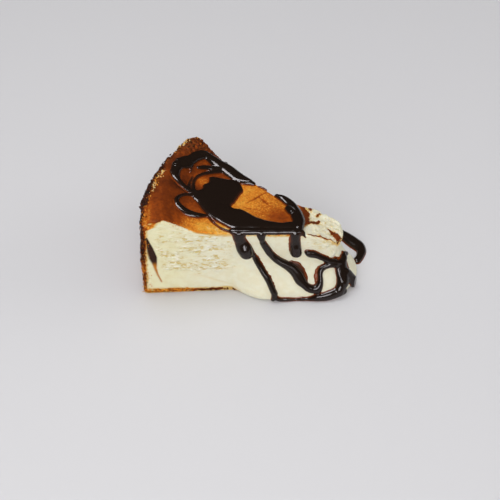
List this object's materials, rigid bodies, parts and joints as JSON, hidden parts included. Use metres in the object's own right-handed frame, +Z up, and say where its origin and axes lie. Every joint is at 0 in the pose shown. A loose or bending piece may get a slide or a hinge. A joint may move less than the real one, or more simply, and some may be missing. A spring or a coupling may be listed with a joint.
{
  "type": "slice of cheesecake",
  "caption": "Wedge of baked cheesecake with a browned top and rim, a slumped creamy tip, and thick dark chocolate sauce looped over the top and run down the side.",
  "frame": {"origin": "on the flat base, on the slice's middle line, half way between the wall's arc and the point where the two cuts would meet", "axes": "+X from the browned rim to the tip along the slice's middle line, +Y towards the hidden cut, +Z up from the base"},
  "size_m": [0.1256, 0.0917, 0.0579],
  "materials": {
    "cream_filling": "moist, finely curdled cream cheese filling, pale yellow, soft sheen",
    "browned_skin": "oven-browned skin, orange to dark brown, slightly glazed and gritty",
    "chocolate_sauce": "thick near-black chocolate sauce, wet gloss"
  },
  "bodies": {
    "root": {"cheesecake": "cream_filling"}
  },
  "joints": []
}
